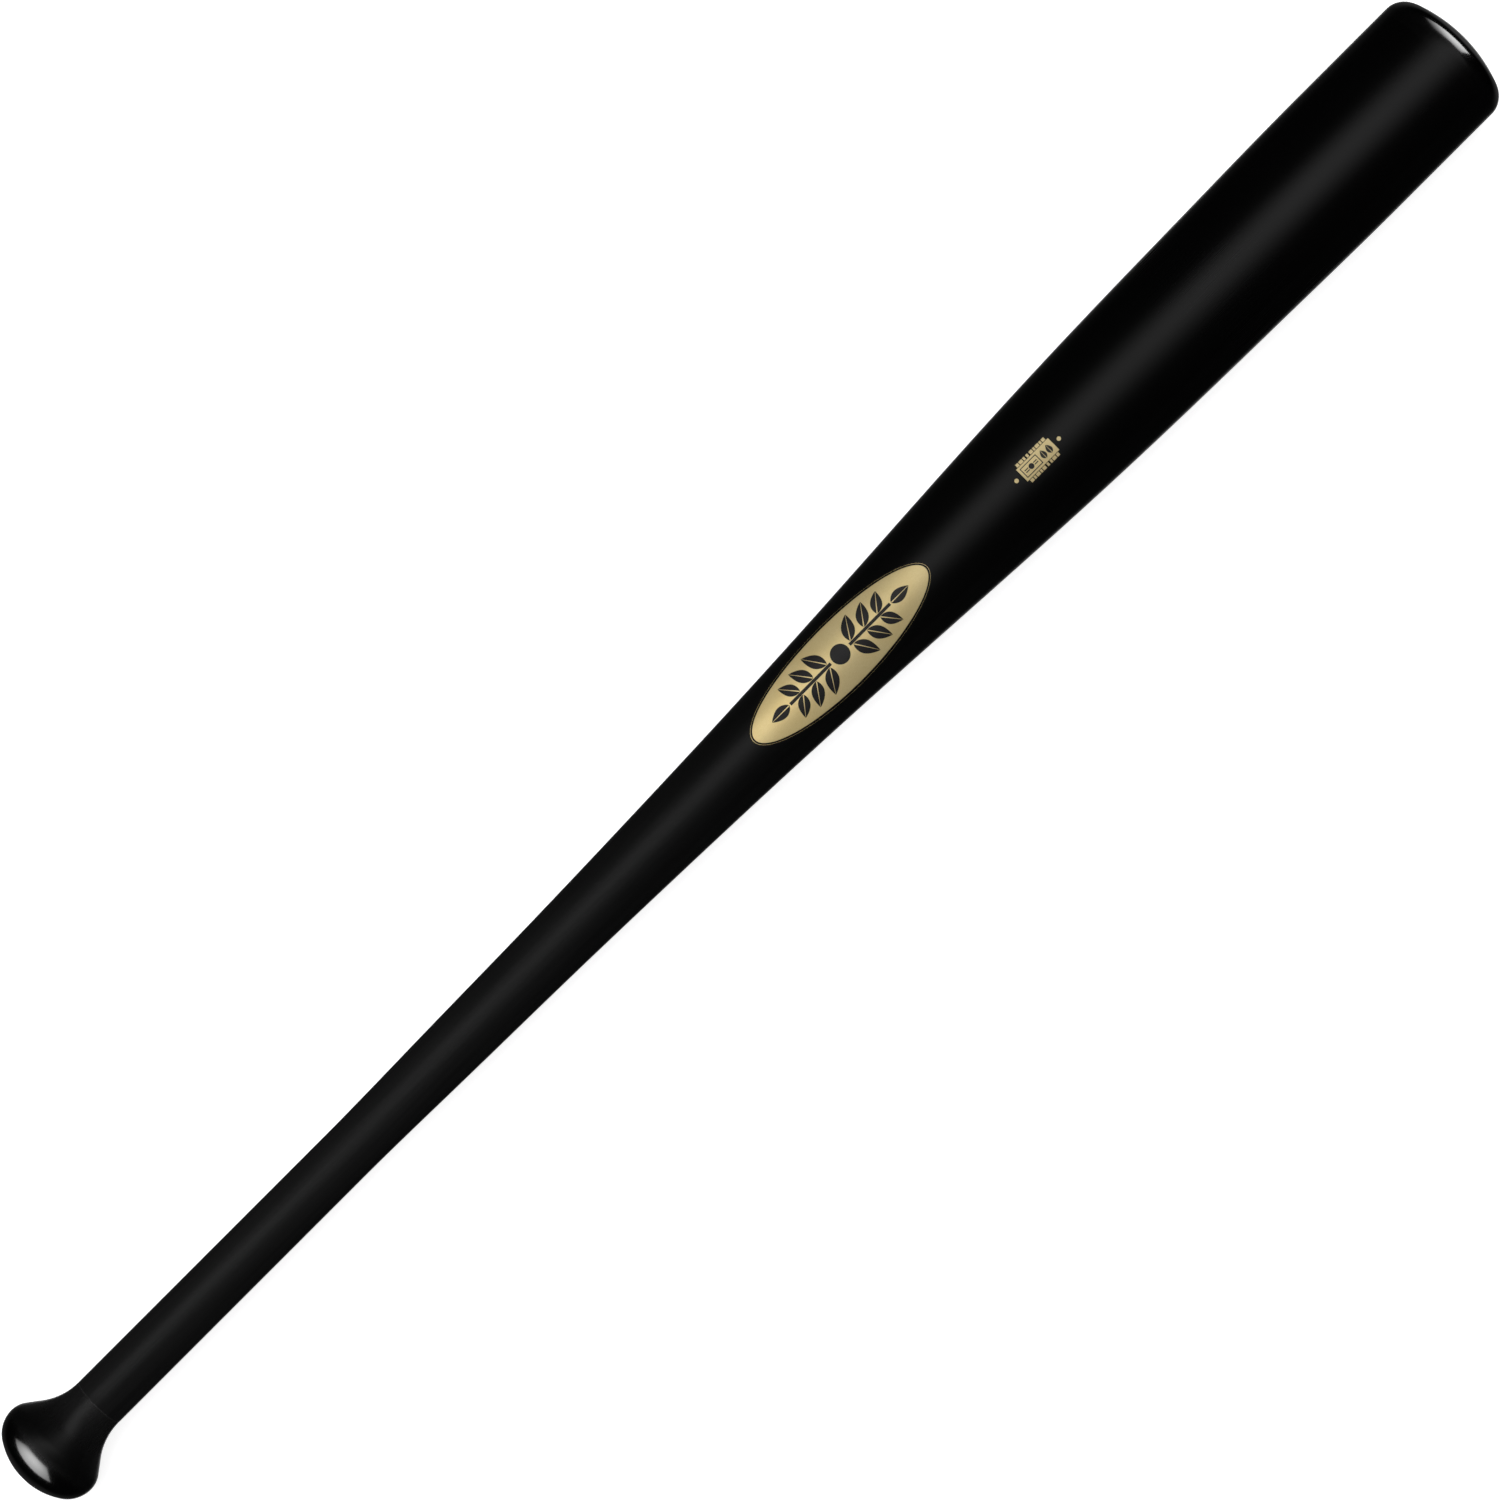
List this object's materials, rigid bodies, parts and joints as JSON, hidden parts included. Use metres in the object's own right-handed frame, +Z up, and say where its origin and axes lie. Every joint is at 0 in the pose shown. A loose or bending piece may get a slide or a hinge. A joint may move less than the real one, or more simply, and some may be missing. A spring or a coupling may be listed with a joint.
{
  "type": "baseball bat",
  "caption": "Composite-core wooden baseball bat with a flared knob, slim straight grip, long taper and crowned barrel, lying with its labelled side up.",
  "frame": {"origin": "centre of the small flat on the knob's end", "axes": "+X along the bat from the knob to the barrel, +Z up out of the labelled side as the bat lies"},
  "size_m": [0.8636, 0.0634, 0.0634],
  "materials": {
    "knob_maple": "turned maple under deep gloss black lacquer",
    "stave_maple": "maple under deep gloss black lacquer",
    "block_maple": "end-grain maple under deep gloss black lacquer",
    "core_rod": "bare straight-grained hardwood",
    "core_foam": "fine closed-cell rigid foam",
    "fibre_sleeve": "resin-soaked woven fibre, satin",
    "gold_foil": "satin pale gold foil",
    "label_ink": "black print on the foil labels"
  },
  "bodies": {
    "root": {"knob": "knob_maple", "handle_core_rod": "core_rod", "barrel_foam_core": "core_foam", "inner_fibre_sleeve": "fibre_sleeve", "outer_fibre_sleeve": "fibre_sleeve", "maple_stave_01": "stave_maple", "maple_stave_02": "stave_maple", "maple_stave_03": "stave_maple", "maple_stave_04": "stave_maple", "maple_stave_05": "stave_maple", "maple_stave_06": "stave_maple", "maple_stave_07": "stave_maple", "maple_stave_08": "stave_maple", "maple_stave_09": "stave_maple", "maple_stave_10": "stave_maple", "maple_stave_11": "stave_maple", "maple_stave_12": "stave_maple", "barrel_end_block": "block_maple", "oval_label": "gold_foil", "spec_label": "gold_foil", "spec_dots": "gold_foil"}
  },
  "joints": []
}
